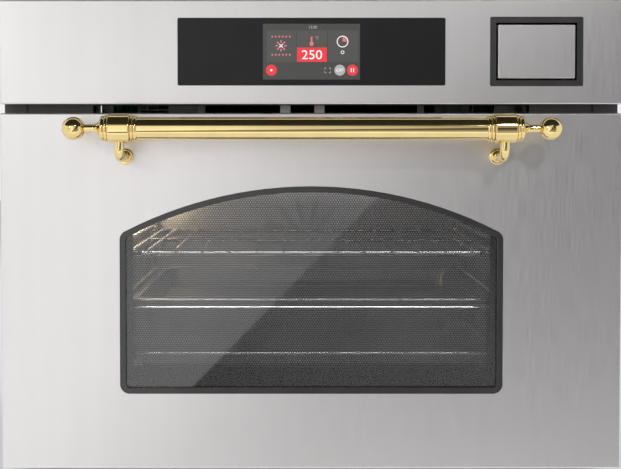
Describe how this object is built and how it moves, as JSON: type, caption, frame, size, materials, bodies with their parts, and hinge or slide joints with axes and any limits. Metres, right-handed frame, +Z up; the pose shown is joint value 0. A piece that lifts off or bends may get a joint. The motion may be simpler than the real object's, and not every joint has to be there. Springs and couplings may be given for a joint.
{
  "type": "combination microwave oven",
  "caption": "Built-in combination microwave oven with a drop-down glass door, brass bar handle, touch display, water tank drawer, wire shelf and two trays.",
  "frame": {"origin": "on the underside of the base, at the middle of the oven's width, in the plane of the cabinet's front edges", "axes": "+X to the right seen from the room, +Y into the cabinet, +Z up"},
  "size_m": [0.595, 0.6284, 0.455],
  "materials": {
    "front_steel": "fine vertical brushing, fingerprint resistant",
    "handle_brass": "polished warm brass",
    "door_glass": "smoked float glass",
    "display_glass": "black printed glass",
    "black_gloss": "moulded, glossy black",
    "black_matt": "moulded, fine texture",
    "screen_steel": "perforated sheet, dark enamel",
    "pan_enamel": "grey enamel",
    "case_steel": "hot dip galvanised sheet",
    "cavity_steel": "stainless, bead blasted",
    "tray_steel": "stainless, polished",
    "wire_chrome": "polished stainless wire",
    "gasket_rubber": "silicone",
    "mineral_wool": "pressed mineral wool",
    "heater_sheath": "oxidised sheath",
    "fan_steel": "pressed stainless",
    "motor_metal": "die cast and laminated",
    "cast_aluminium": "bare",
    "circuit_board": "solder mask",
    "white_plastic": "moulded",
    "tank_plastic": "clear grey",
    "mica": "pressed mica",
    "lamp_glass": "frosted borosilicate",
    "hinge_steel": "zinc plated",
    "hose_rubber": "silicone hose"
  },
  "bodies": {
    "chassis": {"base_pan": "case_steel", "side_panel_left": "case_steel", "side_panel_right": "case_steel", "top_cover": "case_steel", "rear_panel": "case_steel", "rear_cover": "case_steel", "front_frame": "case_steel", "door_gasket": "gasket_rubber", "cavity_liner": "cavity_steel", "insulation": "mineral_wool", "component_shelf": "case_steel", "fan_baffle": "cavity_steel", "convection_motor": "motor_metal", "ring_element": "heater_sheath", "grill_element": "heater_sheath", "lamp_unit": "white_plastic", "lamp_glass": "lamp_glass", "rack_left": "wire_chrome", "rack_right": "wire_chrome", "magnetron": "cast_aluminium", "waveguide": "case_steel", "waveguide_cover": "mica", "stirrer_motor": "motor_metal", "inverter_unit": "circuit_board", "steam_boiler": "cast_aluminium", "water_pump": "black_matt", "water_hoses": "hose_rubber", "blower_housing": "case_steel", "blower_motor": "motor_metal", "vent_grille": "black_matt", "control_panel": "front_steel", "panel_carrier": "black_matt", "display_glass": "display_glass", "control_board": "circuit_board", "tank_bezel": "black_gloss", "tank_bay": "white_plastic", "hinge_housings": "hinge_steel", "interlock_switches": "black_matt", "terminal_block": "white_plastic", "cable_gland": "black_matt"},
    "door": {"door_skin": "front_steel", "window_trim": "black_gloss", "window_glass": "door_glass", "choke_screen": "screen_steel", "door_inner_frame": "pan_enamel", "inner_glass": "door_glass", "handle_bar": "handle_brass", "handle_brackets": "handle_brass", "handle_finials": "handle_brass", "hinge_arms": "hinge_steel", "interlock_tongues": "white_plastic"},
    "tank": {"water_tank": "tank_plastic", "tank_lid": "tank_plastic", "tank_front": "front_steel"},
    "hot_air_fan": {"convection_fan": "fan_steel"},
    "cooling_rotor": {"blower_rotor": "fan_steel"},
    "stirrer": {"mode_stirrer": "fan_steel"},
    "shelf": {"wire_shelf": "wire_chrome"},
    "upper_tray": {"baking_tray_upper": "tray_steel"},
    "lower_tray": {"baking_tray_lower": "tray_steel"}
  },
  "joints": [
    {"name": "door_hinge", "type": "hinge", "parent": "chassis", "child": "door", "pos_m": [0, -0.008, 0.012], "axis": [1, 0, 0], "range_deg": [0, 90], "stiffness_Nm_per_rad": 4.5, "springref_deg": -25.78},
    {"name": "tank_slide", "type": "slide", "parent": "chassis", "child": "tank", "axis": [0, -1, 0], "range_m": [-0.003, 0.26]},
    {"name": "hot_air_fan_spin", "type": "hinge", "parent": "chassis", "child": "hot_air_fan", "pos_m": [0, 0.4, 0.1945], "axis": [0, 1, 0], "continuous": true},
    {"name": "cooling_rotor_spin", "type": "hinge", "parent": "chassis", "child": "cooling_rotor", "pos_m": [0, 0.14, 0.374], "axis": [1, 0, 0], "continuous": true},
    {"name": "stirrer_spin", "type": "hinge", "parent": "chassis", "child": "stirrer", "pos_m": [0, 0.215, 0.32], "axis": [0, 0, 1], "continuous": true},
    {"name": "wire_shelf_slide", "type": "slide", "parent": "chassis", "child": "shelf", "axis": [0, -1, 0], "range_m": [0, 0.014]},
    {"name": "upper_tray_slide", "type": "slide", "parent": "chassis", "child": "upper_tray", "axis": [0, -1, 0], "range_m": [0, 0.014]},
    {"name": "lower_tray_slide", "type": "slide", "parent": "chassis", "child": "lower_tray", "axis": [0, -1, 0], "range_m": [0, 0.014]}
  ]
}
